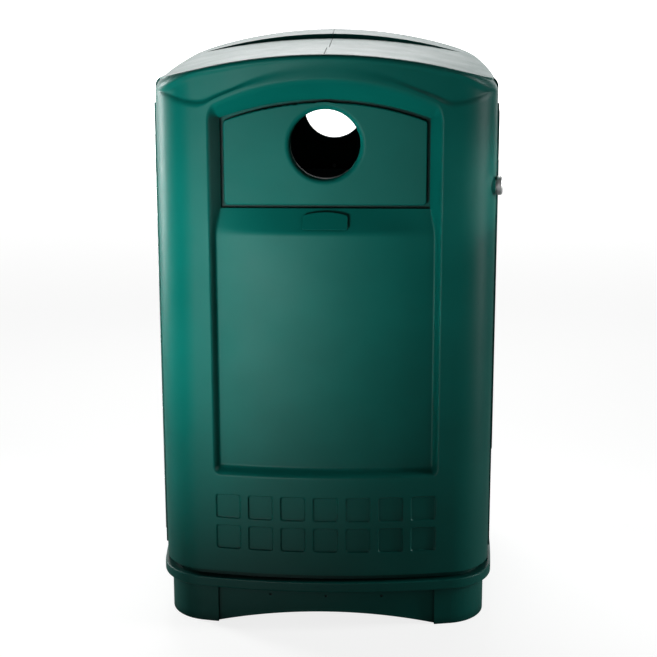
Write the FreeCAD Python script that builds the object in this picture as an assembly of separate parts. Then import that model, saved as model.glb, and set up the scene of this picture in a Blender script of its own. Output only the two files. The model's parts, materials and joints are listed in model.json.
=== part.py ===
import FreeCAD, Part
import math
import os

V = FreeCAD.Vector

# Frame: millimetres, +Z up, front towards -Y, origin on the ground under the middle.

# Driving dimensions: body
HALF_W = 315.0          # half width of the body at its middle
HALF_D = 309.0          # half depth of the body at its middle
HEIGHT = 1070.0
BOW_R = 1250.0          # bow of the front and back faces
SIDE_R = 2700.0         # bow of the side walls
CORNER_R = 88.0         # upright corners
ROOF_R = 920.0          # barrel roof
ROOF_END_R = 9.0        # rounding along the front and back roof edges
ROOF_SIDE_R = 36.0      # rounding along the side roof edges
WALL = 5.0
RIM_LEDGE = 8.0         # width of the end shells' top rim
SEAM = 1.0              # open seam between shells
EDGE_Y = 205.0          # seam planes between the end shells and the side shells
HINGE_GAP = 1.6         # each shell edge stands this far from the seam plane

# Roof recess
DISH_HALF_Y = 162.0
DISH_DEPTH = 9.0
DISH_R = 1200.0

# Raised pads on the side walls
PAD_HALF_Y = 165.0
PAD_Z0, PAD_Z1 = 300.0, 955.0
PAD_PROUD = 4.0
PAD_CORNER_R = 22.0

# Base moulding
RIM_PROUD = 5.5
RIM_Z0, RIM_Z1 = 76.0, 96.0
RIM_ROUND = 3.0
FOOT_INSET = 8.5
SKIRT_INSET = 14.5
SKIRT_HALF_X = 203.0
SKIRT_HALF_Y = 190.0
ARCH_RISE = 28.0
BASE_WALL = 6.0
DECK_Z0, DECK_Z1 = 84.0, 90.0
UPSTAND_Z = 124.0
UPSTAND_FRONT_INSET = 12.0
DIMPLE_X, DIMPLE_Z, DIMPLE_R, DIMPLE_DEPTH = 104.0, 60.0, 2.5, 3.0
ANCHOR_SPACING = 380.0
ANCHOR_HOLE_R = 6.5
ANCHOR_BOSS_R = 20.0

# Door and end shells
DOOR_Z0 = 108.0
RECESS_HALF = 205.0
RECESS_Z0 = 301.0
POCKET_DEPTH = 16.0
POCKET_HALF = 196.0
POCKET_Z0 = 311.0
SILL_Z0, SILL_Z1 = 751.5, 794.0
PANEL_Y = -268.0
WINDOW_HALF = 186.0
WINDOW_CORNER_Z = 955.5
WINDOW_TOP_Z = 988.5
WINDOW_BACK_Y = PANEL_Y + 6.0
WINDOW_R = 8.0          # rounded corners of the window and of the hole panel
FLARE_Y = -330.0        # plane in front of the door where the recess cutters end
FLARE_SIDE = 0.77       # outward run of the recess walls per millimetre of depth
FLARE_CORNER = 0.81
FLARE_TOP = 0.878
BROW_TOP = 11.0         # width of the rim left above the brow
BROW_Z0, BROW_Z1 = 975.0, 1062.0
BROW_INSET0, BROW_INSET1 = 6.5, 0.3
TILE_PITCH, TILE_SIZE_X, TILE_SIZE_Z = 60.1, 45.5, 47.0
TILE_COLUMNS = 7
TILE_ROWS_Z = (237.5, 177.0)
TILE_CORNER_R = 5.0
TILE_DEPTH = 3.2

# Hole panels
REVEAL = 5.5            # open groove round the hole panel
PANEL_EDGE_R = 3.0
PANEL_FLANGE = 15.0
PANEL_FLANGE_T = 4.0
HOLE_Z = 907.5
HOLE_R = 62.0
LIP_R = 10.0
THROAT_DEPTH = 18.0
THROAT_WALL = 14.0

# Flanges on the shell edges
FLANGE_W = 24.0
FLANGE_T = 5.0
FLANGE_Z0, FLANGE_Z1 = 130.0, 975.0

# Hinge
PIN_X, PIN_Y = -308.0, -205.0
PIN_R = 1.5
KNUCKLE_R = 3.0
KNUCKLE_BORE_R = 1.55
KNUCKLE_PITCH = 12.7
KNUCKLE_COUNT = 60
KNUCKLE_GAP = 0.4
HINGE_Z0 = 155.0
HINGE_Z1 = HINGE_Z0 + KNUCKLE_COUNT * KNUCKLE_PITCH
LEAF_T = 1.2
LEAF_X0, LEAF_X1 = -305.5, -283.0
RIVET_X = -290.0
RIVET_COUNT = 12

# Lock
LOCK_Y, LOCK_Z = -228.0, 829.5
LOCK_FACE_X = 316.0
LOCK_SEAT_X = 306.0       # outer face of the boss that the lock sits on
LOCK_BOSS_X = 289.0       # inner face of the boss, where the nut sits
LOCK_BOSS_R = 17.5
LOCK_R = 17.0
BARREL_R = 10.0
PLUG_R = 6.5
CAM_X0, CAM_X1 = 281.0, 284.0
KEEPER_REACH = 28.0
KEEPER_PIN_R = 3.0

# Liner
LINER_TOP_HALF, LINER_BOTTOM_HALF = 236.0, 215.0
LINER_Z0, LINER_Z1 = 93.4, 780.0
LINER_WALL = 3.5
LINER_CORNER_R = 55.0
LINER_LIP = 10.0


def box(x0, x1, y0, y1, z0, z1):
    return Part.makeBox(x1 - x0, y1 - y0, z1 - z0, V(x0, y0, z0))


def cylinder_x(radius, x0, x1, y, z):
    return Part.makeCylinder(radius, x1 - x0, V(x0, y, z), V(1, 0, 0))


def cylinder_y(radius, y0, y1, x, z):
    return Part.makeCylinder(radius, y1 - y0, V(x, y0, z), V(0, 1, 0))


def cylinder_z(radius, z0, z1, x, y):
    return Part.makeCylinder(radius, z1 - z0, V(x, y, z0))


def arc(start, middle, end):
    return Part.Arc(start, middle, end).toShape()


def turned_back(shape):
    """The same shape at the back of the container."""
    copy = shape.copy()
    copy.rotate(V(0, 0, 0), V(0, 0, 1), 180)
    return copy


def mirrored_x(shape):
    return shape.mirror(V(0, 0, 0), V(1, 0, 0))


# Plan outline: bowed ends and sides joined by round corners

END_CENTRE = (0.0, BOW_R - HALF_D)
SIDE_CENTRE = (HALF_W - SIDE_R, 0.0)


def corner_centre():
    """Centre of the front right corner arc, tangent to the end bow and the side bow."""
    dx = SIDE_CENTRE[0] - END_CENTRE[0]
    dy = SIDE_CENTRE[1] - END_CENTRE[1]
    gap = math.hypot(dx, dy)
    r_end = BOW_R - CORNER_R
    r_side = SIDE_R - CORNER_R
    along = (r_end ** 2 - r_side ** 2 + gap ** 2) / (2 * gap)
    across = math.sqrt(r_end ** 2 - along ** 2)
    x = END_CENTRE[0] + (along * dx - across * dy) / gap
    y = END_CENTRE[1] + (along * dy + across * dx) / gap
    if x < 0:
        x = END_CENTRE[0] + (along * dx + across * dy) / gap
        y = END_CENTRE[1] + (along * dy - across * dx) / gap
    return x, y


CORNER = corner_centre()
END_ANGLE = math.atan2(CORNER[1] - END_CENTRE[1], CORNER[0] - END_CENTRE[0])
SIDE_ANGLE = math.atan2(CORNER[1] - SIDE_CENTRE[1], CORNER[0] - SIDE_CENTRE[0])


def polar(centre, radius, angle):
    return centre[0] + radius * math.cos(angle), centre[1] + radius * math.sin(angle)


def plan_wire(inset, z):
    r_end, r_side, r_corner = BOW_R - inset, SIDE_R - inset, CORNER_R - inset
    front = polar(END_CENTRE, r_end, -math.pi / 2)
    front_end = polar(END_CENTRE, r_end, END_ANGLE)
    corner_mid = polar(CORNER, r_corner, (END_ANGLE + SIDE_ANGLE) / 2)
    side_end = polar(SIDE_CENTRE, r_side, SIDE_ANGLE)
    side = polar(SIDE_CENTRE, r_side, 0)

    def at(point, sx, sy):
        return V(point[0] * sx, point[1] * sy, z)

    edges = [
        arc(at(front_end, -1, 1), at(front, 1, 1), at(front_end, 1, 1)),
        arc(at(front_end, 1, 1), at(corner_mid, 1, 1), at(side_end, 1, 1)),
        arc(at(side_end, 1, 1), at(side, 1, 1), at(side_end, 1, -1)),
        arc(at(side_end, 1, -1), at(corner_mid, 1, -1), at(front_end, 1, -1)),
        arc(at(front_end, 1, -1), at(front, 1, -1), at(front_end, -1, -1)),
        arc(at(front_end, -1, -1), at(corner_mid, -1, -1), at(side_end, -1, -1)),
        arc(at(side_end, -1, -1), at(side, -1, 1), at(side_end, -1, 1)),
        arc(at(side_end, -1, 1), at(corner_mid, -1, 1), at(front_end, -1, 1)),
    ]
    return Part.Wire(edges)


def plan_prism(inset, z0, z1):
    return Part.Face(plan_wire(inset, z0)).extrude(V(0, 0, z1 - z0))


def ring(inset0, inset1, z0, z1):
    return plan_prism(inset0, z0, z1).cut(plan_prism(inset1, z0 - 1, z1 + 1))


def under_arc(radius, top_z, z_low):
    """Everything below a cylinder whose axis runs along Y."""
    half = 400.0
    centre_z = top_z - radius
    edge_z = centre_z + math.sqrt(radius ** 2 - half ** 2)
    edges = [
        arc(V(-half, -400, edge_z), V(0, -400, top_z), V(half, -400, edge_z)),
        Part.makeLine(V(half, -400, edge_z), V(half, -400, z_low)),
        Part.makeLine(V(half, -400, z_low), V(-half, -400, z_low)),
        Part.makeLine(V(-half, -400, z_low), V(-half, -400, edge_z)),
    ]
    return Part.Face(Part.Wire(edges)).extrude(V(0, 800, 0))


def hood(inset, end_r, side_r, z0):
    """Body block under the barrel roof, its top edges rounded end_r at the ends and side_r at the sides."""
    block = plan_prism(inset, z0, HEIGHT + 30).common(under_arc(ROOF_R - inset, HEIGHT - inset, z0 - 50))
    document = FreeCAD.newDocument()
    source = document.addObject("Part::Feature", "block")
    source.Shape = block
    fillet = document.addObject("Part::Fillet", "rounded")
    fillet.Base = source
    radii = []
    for number, edge in enumerate(block.Edges, start=1):
        if min(vertex.Z for vertex in edge.Vertexes) < HEIGHT - 120:
            continue
        middle = edge.valueAt((edge.FirstParameter + edge.LastParameter) / 2)
        if abs(middle.x) < 5:
            radii.append((number, end_r, end_r))
        elif abs(middle.y) < 5:
            radii.append((number, side_r, side_r))
        else:
            start = edge.valueAt(edge.FirstParameter)
            end = edge.valueAt(edge.LastParameter)
            at_end_face = abs(start.y) > abs(end.y)
            radii.append((number, end_r, side_r) if at_end_face else (number, side_r, end_r))
    fillet.Edges = radii
    document.recompute()
    shape = fillet.Shape.copy()
    FreeCAD.closeDocument(document.Name)
    return shape


def dish(extra):
    """What the roof recess takes away, with room for the wall under it."""
    half_y = DISH_HALF_Y + extra
    above = box(-400, 400, -half_y, half_y, HEIGHT - 150, HEIGHT + 50)
    return above.cut(under_arc(DISH_R - extra, HEIGHT - DISH_DEPTH - extra, 0))


def body_skin(z0):
    """The whole moulded skin of the body before it is split into shells."""
    outside = hood(0, ROOF_END_R, ROOF_SIDE_R, z0).cut(dish(0))
    inside = hood(WALL, ROOF_END_R - WALL, ROOF_SIDE_R - WALL, z0 - 10).cut(dish(WALL))
    return outside.cut(inside)


# Recess in the end shells

def arched_wire(y, half, z0, corner_z, top_z, r):
    """Upright outline with a flat foot and an arched top, its four corners rounded by r."""
    rise = top_z - corner_z
    arch_r = (half ** 2 + rise ** 2) / (2 * rise)
    arch_z = top_z - arch_r
    round_x = half - r
    round_z = arch_z + math.sqrt((arch_r - r) ** 2 - round_x ** 2)
    scale = arch_r / (arch_r - r)
    meet_x, meet_z = round_x * scale, arch_z + (round_z - arch_z) * scale
    lean = math.atan2(round_z - arch_z, round_x) / 2
    mid_x, mid_z = round_x + r * math.cos(lean), round_z + r * math.sin(lean)
    k = r * (1 - math.sqrt(0.5))
    low = z0 + r
    edges = [
        Part.makeLine(V(-round_x, y, z0), V(round_x, y, z0)),
        arc(V(round_x, y, z0), V(half - k, y, z0 + k), V(half, y, low)),
        Part.makeLine(V(half, y, low), V(half, y, round_z)),
        arc(V(half, y, round_z), V(mid_x, y, mid_z), V(meet_x, y, meet_z)),
        arc(V(meet_x, y, meet_z), V(0, y, top_z), V(-meet_x, y, meet_z)),
        arc(V(-meet_x, y, meet_z), V(-mid_x, y, mid_z), V(-half, y, round_z)),
        Part.makeLine(V(-half, y, round_z), V(-half, y, low)),
        arc(V(-half, y, low), V(-half + k, y, z0 + k), V(-round_x, y, z0)),
    ]
    return Part.Wire(edges)


def section(z, half, inset, half_front):
    """Horizontal outline of the recess: a back edge, flat or bowed, and sides that flare to the front."""
    if inset is None:
        back_y = WINDOW_BACK_Y if half > WINDOW_HALF else PANEL_Y
        back = Part.makeLine(V(-half, back_y, z), V(half, back_y, z))
    else:
        radius = BOW_R - inset
        back_y = END_CENTRE[1] - math.sqrt(radius ** 2 - half ** 2)
        back = arc(V(-half, back_y, z), V(0, END_CENTRE[1] - radius, z), V(half, back_y, z))
    edges = [
        back,
        Part.makeLine(V(half, back_y, z), V(half_front, FLARE_Y, z)),
        Part.makeLine(V(half_front, FLARE_Y, z), V(-half_front, FLARE_Y, z)),
        Part.makeLine(V(-half_front, FLARE_Y, z), V(-half, back_y, z)),
    ]
    return Part.Wire(edges)


def window_cutter(margin, back_y):
    run = PANEL_Y - FLARE_Y
    window = arched_wire(PANEL_Y, WINDOW_HALF + margin, SILL_Z1 - margin,
                         WINDOW_CORNER_Z + margin, WINDOW_TOP_Z + margin, WINDOW_R + margin)
    front = arched_wire(FLARE_Y, WINDOW_HALF + margin + FLARE_SIDE * run, SILL_Z1 - margin,
                        WINDOW_CORNER_Z + margin + FLARE_CORNER * run,
                        WINDOW_TOP_Z + margin + FLARE_TOP * run, WINDOW_R + margin + 10)
    flare = Part.makeLoft([front, window], True, True)
    return flare.fuse(Part.Face(window).extrude(V(0, back_y - PANEL_Y, 0)))


def recess_cutter():
    window_front = WINDOW_HALF + FLARE_SIDE * (PANEL_Y - FLARE_Y)
    pocket_front = RECESS_HALF + 18
    bottom = section(RECESS_Z0, RECESS_HALF, 0.0, pocket_front)
    pocket_bottom = section(POCKET_Z0, POCKET_HALF, POCKET_DEPTH, pocket_front)
    pocket_top = section(SILL_Z0, POCKET_HALF, POCKET_DEPTH, pocket_front)
    sill_top = section(SILL_Z1, WINDOW_HALF, None, window_front)
    cutter = Part.makeLoft([bottom, pocket_bottom], True, True)
    cutter = cutter.fuse(Part.makeLoft([pocket_bottom, pocket_top], True, True))
    cutter = cutter.fuse(Part.makeLoft([pocket_top, sill_top], True, True))
    return cutter.fuse(window_cutter(0, WINDOW_BACK_Y + 1))


def recess_backing():
    """Solid behind the recess, which leaves its walls once the recess is cut."""
    pocket = ring(WALL - 1, POCKET_DEPTH + WALL, RECESS_Z0 - 8, SILL_Z0 - 4)
    pocket = pocket.common(box(-RECESS_HALF - 4, RECESS_HALF + 4, -400, 0, 0, HEIGHT))
    upper = window_cutter(16, WINDOW_BACK_Y).common(plan_prism(0, 0, HEIGHT))
    sill = box(-WINDOW_HALF - 16, WINDOW_HALF + 16, -400, WINDOW_BACK_Y, SILL_Z0 - 5, SILL_Z1 - 10)
    sill = sill.common(plan_prism(WALL - 1, 0, HEIGHT))
    return pocket.fuse([upper, sill])


def tiles():
    """Two rows of shallow sunk squares under the recess."""
    prisms = []
    for row_z in TILE_ROWS_Z:
        for column in range(TILE_COLUMNS):
            x = (column - (TILE_COLUMNS - 1) / 2) * TILE_PITCH
            tile = box(x - TILE_SIZE_X / 2, x + TILE_SIZE_X / 2, -400, -200,
                       row_z - TILE_SIZE_Z / 2, row_z + TILE_SIZE_Z / 2)
            along_y = [edge for edge in tile.Edges if abs(edge.tangentAt(0).y) > 0.9]
            prisms.append(tile.makeFillet(TILE_CORNER_R, along_y))
    return Part.makeCompound(prisms).cut(plan_prism(TILE_DEPTH, 0, HEIGHT))


def brow_cutter():
    """The sunk face between the roof rim, the column tops and the arch over the recess."""
    y = -400
    roof_r = ROOF_R - BROW_TOP
    roof_centre = HEIGHT - ROOF_R
    end_z = roof_centre + math.sqrt(roof_r ** 2 - 300 ** 2)
    edges = [
        arc(V(-300, y, 998), V(-262, y, 986), V(-222, y, 980.5)),
        arc(V(-222, y, 980.5), V(-211, y, 982), V(-200, y, 988)),
        arc(V(-200, y, 988), V(0, y, 1036), V(200, y, 988)),
        arc(V(200, y, 988), V(211, y, 982), V(222, y, 980.5)),
        arc(V(222, y, 980.5), V(262, y, 986), V(300, y, 998)),
        Part.makeLine(V(300, y, 998), V(300, y, end_z)),
        arc(V(300, y, end_z), V(0, y, HEIGHT - BROW_TOP), V(-300, y, end_z)),
        Part.makeLine(V(-300, y, end_z), V(-300, y, 998)),
    ]
    prism = Part.Face(Part.Wire(edges)).extrude(V(0, 180, 0))
    face = Part.makeLoft([plan_wire(BROW_INSET0, BROW_Z0), plan_wire(BROW_INSET1, BROW_Z1)], True, True)
    return prism.cut(face)


def end_shell(skin, z0, edge_y, flange_reach):
    """Front shell: face, columns, top rim and stiffening flanges, with its recess and brow."""
    shell = skin.common(box(-400, 400, -400, -edge_y, z0, HEIGHT + 50))
    shell = shell.cut(plan_prism(RIM_LEDGE, 0, HEIGHT + 50))
    roofed = hood(0, ROOF_END_R, ROOF_SIDE_R, RIM_Z1)
    brow_backing = ring(WALL - 2, RIM_LEDGE, BROW_Z0, HEIGHT).fuse(ring(WALL - 2, 14, BROW_Z0 - 20, 986))
    brow_backing = brow_backing.common(box(-400, 400, -400, -edge_y - 2, 0, HEIGHT)).common(roofed)
    flange_y = -edge_y + flange_reach
    flange = box(-HALF_W, -302 + FLANGE_W, -edge_y - FLANGE_T, flange_y, FLANGE_Z0, FLANGE_Z1)
    flanges = flange.fuse(mirrored_x(flange)).common(plan_prism(WALL - 1, 0, HEIGHT))
    shell = shell.fuse([recess_backing(), brow_backing, flanges])
    shell = shell.cut(recess_cutter()).cut(tiles()).cut(brow_cutter())
    return shell.removeSplitter()


# Side shells with the roof

def side_pad():
    pad = box(0, 400, -PAD_HALF_Y, PAD_HALF_Y, PAD_Z0, PAD_Z1)
    along_x = [edge for edge in pad.Edges if abs(edge.tangentAt(0).x) > 0.9]
    pad = pad.makeFillet(PAD_CORNER_R, along_x)
    return pad.common(ring(-PAD_PROUD, 1, PAD_Z0 - 5, PAD_Z1 + 5))


def side_shell(skin):
    """Right side wall with its half of the roof, cut back where the end shells fit."""
    edge = EDGE_Y - HINGE_GAP
    end_zone = box(-400, 400, -400, -edge, 0, HEIGHT + 50).cut(plan_prism(RIM_LEDGE + SEAM, 0, HEIGHT + 50))
    shell = skin.common(box(SEAM / 2, 400, -400, 400, RIM_Z1, HEIGHT + 50))
    shell = shell.cut(end_zone).cut(turned_back(end_zone))
    inset = RIM_LEDGE + SEAM
    downstand = ring(inset, inset + WALL, 900, HEIGHT)
    lowered = under_arc(ROOF_R - 30, HEIGHT - 30, 0)
    downstand = downstand.common(hood(2, ROOF_END_R - 2, ROOF_SIDE_R - 2, 900)).cut(lowered)
    downstand = downstand.cut(box(-400, 400, -edge, edge, 0, HEIGHT + 50))
    downstand = downstand.common(box(SEAM / 2, 400, -400, 400, 0, HEIGHT + 50))
    flange = box(302 - FLANGE_W, HALF_W, -edge, -edge + FLANGE_T, FLANGE_Z0, FLANGE_Z1)
    flange = flange.common(plan_prism(WALL - 1, 0, HEIGHT))
    back_flange = flange.mirror(V(0, 0, 0), V(0, 1, 0))
    seam_flange = box(SEAM / 2, SEAM / 2 + WALL, -290, 290, HEIGHT - 40, HEIGHT - 3)
    seam_flange = seam_flange.cut(dish(1))
    shell = shell.fuse([downstand, flange, back_flange, seam_flange, side_pad()])
    return shell.removeSplitter()


# Base

def base():
    rim = plan_prism(-RIM_PROUD, RIM_Z0, RIM_Z1)
    rim_edges = [edge for edge in rim.Edges if abs(edge.BoundBox.ZLength) < 0.01]
    rim = rim.makeFillet(RIM_ROUND, rim_edges)
    lower = plan_prism(FOOT_INSET, 0, RIM_Z0)
    behind_skirt = plan_prism(SKIRT_INSET, -1, RIM_Z0 + 1)
    for half_x, half_y in ((SKIRT_HALF_X, 400), (400, SKIRT_HALF_Y)):
        lower = lower.cut(box(-half_x, half_x, -half_y, half_y, -1, RIM_Z0 + 1).cut(behind_skirt))
    body = lower.fuse(rim)
    edge = EDGE_Y - HINGE_GAP
    upstand = plan_prism(WALL, RIM_Z1, UPSTAND_Z)
    front = box(-400, 400, -400, -edge + 0.4, 0, 400)
    front_upstand = plan_prism(UPSTAND_FRONT_INSET, RIM_Z1, UPSTAND_Z).common(front)
    body = body.fuse([upstand.cut(front), front_upstand])
    body = body.cut(plan_prism(UPSTAND_FRONT_INSET + WALL, DECK_Z1, 400))
    cavity = plan_prism(SKIRT_INSET + BASE_WALL, -1, DECK_Z0)
    half = ANCHOR_SPACING / 2
    places = [(x, y) for x in (-half, half) for y in (-half, half)]
    for x, y in places:
        cavity = cavity.cut(cylinder_z(ANCHOR_BOSS_R, -2, DECK_Z0 + 1, x, y))
    body = body.cut(cavity)
    for half_span, along_y in ((SKIRT_HALF_X, True), (SKIRT_HALF_Y, False)):
        radius = (half_span ** 2 + ARCH_RISE ** 2) / (2 * ARCH_RISE)
        arch = cylinder_y(radius, -400, 400, 0, ARCH_RISE - radius)
        arch = arch.common(box(-half_span, half_span, -400, 400, -50, ARCH_RISE + 1))
        if not along_y:
            arch.rotate(V(0, 0, 0), V(0, 0, 1), 90)
        for x, y in places:
            arch = arch.cut(cylinder_z(ANCHOR_BOSS_R, -60, ARCH_RISE + 2, x, y))
        body = body.cut(arch)
    for x, y in places:
        body = body.cut(cylinder_z(ANCHOR_HOLE_R, -1, DECK_Z1 + 1, x, y))
    for x in (-DIMPLE_X, 0, DIMPLE_X):
        skirt_y = END_CENTRE[1] - math.sqrt((BOW_R - SKIRT_INSET) ** 2 - x ** 2)
        body = body.cut(cylinder_y(DIMPLE_R, -400, skirt_y + DIMPLE_DEPTH, x, DIMPLE_Z))
    return body.removeSplitter()


def anchor_washers():
    half = ANCHOR_SPACING / 2
    washers = []
    for x in (-half, half):
        for y in (-half, half):
            washer = cylinder_z(18, DECK_Z1, DECK_Z1 + 3, x, y)
            washers.append(washer.cut(cylinder_z(ANCHOR_HOLE_R, DECK_Z1 - 1, DECK_Z1 + 4, x, y)))
    return Part.makeCompound(washers)


# Hole panels

def hole_panel():
    boss = Part.Face(arched_wire(PANEL_Y, WINDOW_HALF - REVEAL, SILL_Z1 + REVEAL,
                                 WINDOW_CORNER_Z - REVEAL, WINDOW_TOP_Z - REVEAL, WINDOW_R))
    boss = boss.extrude(V(0, WINDOW_BACK_Y - PANEL_Y, 0))
    front_edges = [edge for edge in boss.Edges if edge.BoundBox.YMax < PANEL_Y + 0.1]
    boss = boss.makeFillet(PANEL_EDGE_R, front_edges)
    flange = Part.Face(arched_wire(WINDOW_BACK_Y, WINDOW_HALF + PANEL_FLANGE, SILL_Z1 - PANEL_FLANGE,
                                   WINDOW_CORNER_Z + PANEL_FLANGE, WINDOW_TOP_Z + PANEL_FLANGE, WINDOW_R))
    flange = flange.extrude(V(0, PANEL_FLANGE_T, 0))
    throat = cylinder_y(HOLE_R + THROAT_WALL, PANEL_Y, PANEL_Y + THROAT_DEPTH, 0, HOLE_Z)
    panel = boss.fuse([flange, throat]).removeSplitter()
    panel = panel.cut(cylinder_y(HOLE_R, PANEL_Y - 1, PANEL_Y + THROAT_DEPTH + 1, 0, HOLE_Z))
    lip = [edge for edge in panel.Edges
           if abs(edge.BoundBox.YMin - PANEL_Y) < 0.01 and edge.BoundBox.YLength < 0.01
           and abs(edge.BoundBox.XLength - 2 * HOLE_R) < 0.5]
    return panel.makeFillet(LIP_R, lip)


PANEL_SCREW_OFFSET = 10.0


def panel_screw_places():
    low_z = SILL_Z1 - PANEL_SCREW_OFFSET
    side_x = WINDOW_HALF + PANEL_SCREW_OFFSET
    places = [(x, low_z) for x in (-120, 0, 120)]
    places += [(sx * side_x, z) for sx in (-1, 1) for z in (835, 925)]
    places.append((0, WINDOW_TOP_Z + PANEL_SCREW_OFFSET))
    return places


def panel_screws():
    back_y = WINDOW_BACK_Y + PANEL_FLANGE_T
    screws = []
    for x, z in panel_screw_places():
        head = cylinder_y(4.2, back_y, back_y + 2.6, x, z)
        head = head.cut(box(x - 3, x + 3, back_y + 1.4, back_y + 3, z - 0.5, z + 0.5))
        screws.append(head.fuse(cylinder_y(2.0, WINDOW_BACK_Y - 6, back_y, x, z)))
    return Part.makeCompound(screws)


def badge():
    """Blank name plate on the sill under the hole panel."""
    half, low, high = 40.0, -18.0, 15.0
    edges = [
        Part.makeLine(V(-half, low, 0), V(half, low, 0)),
        Part.makeLine(V(half, low, 0), V(half, high - 7, 0)),
        arc(V(half, high - 7, 0), V(0, high, 0), V(-half, high - 7, 0)),
        Part.makeLine(V(-half, high - 7, 0), V(-half, low, 0)),
    ]
    plate = Part.Face(Part.Wire(edges)).extrude(V(0, 0, 3.0))
    upright = [edge for edge in plate.Edges if abs(edge.tangentAt(edge.FirstParameter).z) > 0.9]
    plate = plate.makeFillet(4.0, upright)
    plate.translate(V(0, 0, -1.4))
    top_y, low_y = PANEL_Y, -HALF_D + POCKET_DEPTH
    lean = math.degrees(math.atan2(SILL_Z1 - SILL_Z0, top_y - low_y))
    plate.rotate(V(0, 0, 0), V(1, 0, 0), lean)
    plate.translate(V(0, (top_y + low_y) / 2, (SILL_Z0 + SILL_Z1) / 2 + 2))
    return plate


# Hinge

def hinge_leaf(on_door):
    y0 = PIN_Y - HINGE_GAP if on_door else PIN_Y + HINGE_GAP - LEAF_T
    leaf = box(LEAF_X0, LEAF_X1, y0, y0 + LEAF_T, HINGE_Z0, HINGE_Z1)
    knuckles = []
    for number in range(KNUCKLE_COUNT):
        z0 = HINGE_Z0 + number * KNUCKLE_PITCH + KNUCKLE_GAP / 2
        z1 = z0 + KNUCKLE_PITCH - KNUCKLE_GAP
        if (number % 2 == 0) == on_door:
            knuckles.append(cylinder_z(KNUCKLE_R, z0, z1, PIN_X, PIN_Y))
            knuckles.append(box(PIN_X, LEAF_X0 + 0.5, y0, y0 + LEAF_T, z0, z1))
    leaf = leaf.fuse(knuckles).cut(cylinder_z(KNUCKLE_BORE_R, HINGE_Z0 - 1, HINGE_Z1 + 1, PIN_X, PIN_Y))
    for number in range(KNUCKLE_COUNT):
        if (number % 2 == 0) != on_door:
            z0 = HINGE_Z0 + number * KNUCKLE_PITCH - KNUCKLE_GAP / 2
            leaf = leaf.cut(cylinder_z(KNUCKLE_R + 0.3, z0, z0 + KNUCKLE_PITCH + KNUCKLE_GAP, PIN_X, PIN_Y))
    return leaf


def hinge_pin():
    return cylinder_z(PIN_R, HINGE_Z0 - 0.5, HINGE_Z1 + 0.5, PIN_X, PIN_Y)


def rivet_heights():
    step = (HINGE_Z1 - HINGE_Z0 - 40) / (RIVET_COUNT - 1)
    return [HINGE_Z0 + 20 + number * step for number in range(RIVET_COUNT)]


def hinge_rivets(on_door):
    rivets = []
    for z in rivet_heights():
        if on_door:
            leaf_y = PIN_Y - HINGE_GAP + LEAF_T
            flange_y = PIN_Y - HINGE_GAP - FLANGE_T
            shank = cylinder_y(2.0, flange_y, leaf_y, RIVET_X, z)
            head = cylinder_y(4.0, flange_y - 1.5, flange_y, RIVET_X, z)
        else:
            leaf_y = PIN_Y + HINGE_GAP - LEAF_T
            flange_y = PIN_Y + HINGE_GAP + FLANGE_T
            shank = cylinder_y(2.0, leaf_y, flange_y, RIVET_X, z)
            head = cylinder_y(4.0, flange_y, flange_y + 1.5, RIVET_X, z)
        rivets.append(shank.fuse(head))
    return Part.makeCompound(rivets)


# Lock

def lock_body():
    """The lock housing's outside, solid, which is also the shape of its hole in the door."""
    body = cylinder_x(LOCK_R, LOCK_SEAT_X, LOCK_FACE_X, LOCK_Y, LOCK_Z)
    rim = [edge for edge in body.Edges if edge.BoundBox.XMin > LOCK_FACE_X - 0.1]
    body = body.makeFillet(4.0, rim)
    return body.fuse(cylinder_x(BARREL_R, CAM_X1 + 0.3, LOCK_SEAT_X, LOCK_Y, LOCK_Z))


def lock_boss():
    """Moulded pad through the rounded corner that gives the lock two flat seats."""
    return cylinder_x(LOCK_BOSS_R, LOCK_BOSS_X, LOCK_SEAT_X, LOCK_Y, LOCK_Z)


def lock_housing():
    return lock_body().cut(cylinder_x(PLUG_R + 0.05, 280, 330, LOCK_Y, LOCK_Z))


def lock_plug():
    plug = cylinder_x(PLUG_R, 284.2, LOCK_FACE_X + 0.4, LOCK_Y, LOCK_Z)
    keyway = box(LOCK_FACE_X - 6, 330, LOCK_Y - 0.9, LOCK_Y + 0.9, LOCK_Z - 4, LOCK_Z + 4)
    return plug.fuse(box(CAM_X0, 284.2, LOCK_Y - 3, LOCK_Y + 3, LOCK_Z - 3, LOCK_Z + 3)).cut(keyway)


def lock_nut():
    nut = cylinder_x(14.5, LOCK_BOSS_X - 4, LOCK_BOSS_X, LOCK_Y, LOCK_Z)
    return nut.cut(cylinder_x(BARREL_R, 280, 300, LOCK_Y, LOCK_Z))


def sector(r0, r1, angle0, angle1):
    """Part of a flat ring round the lock axis; angles from +Y towards +Z."""
    def at(radius, angle):
        a = math.radians(angle)
        return V(CAM_X0, LOCK_Y + radius * math.cos(a), LOCK_Z + radius * math.sin(a))

    mid = (angle0 + angle1) / 2
    edges = [
        Part.makeLine(at(r0, angle0), at(r1, angle0)),
        arc(at(r1, angle0), at(r1, mid), at(r1, angle1)),
        Part.makeLine(at(r1, angle1), at(r0, angle1)),
        arc(at(r0, angle1), at(r0, mid), at(r0, angle0)),
    ]
    return Part.Face(Part.Wire(edges)).extrude(V(CAM_X1 - CAM_X0, 0, 0))


CAM_SWING = 80.0
CAM_HOOK_TOP = 44.0       # end of the hook past the swing, in degrees


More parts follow.
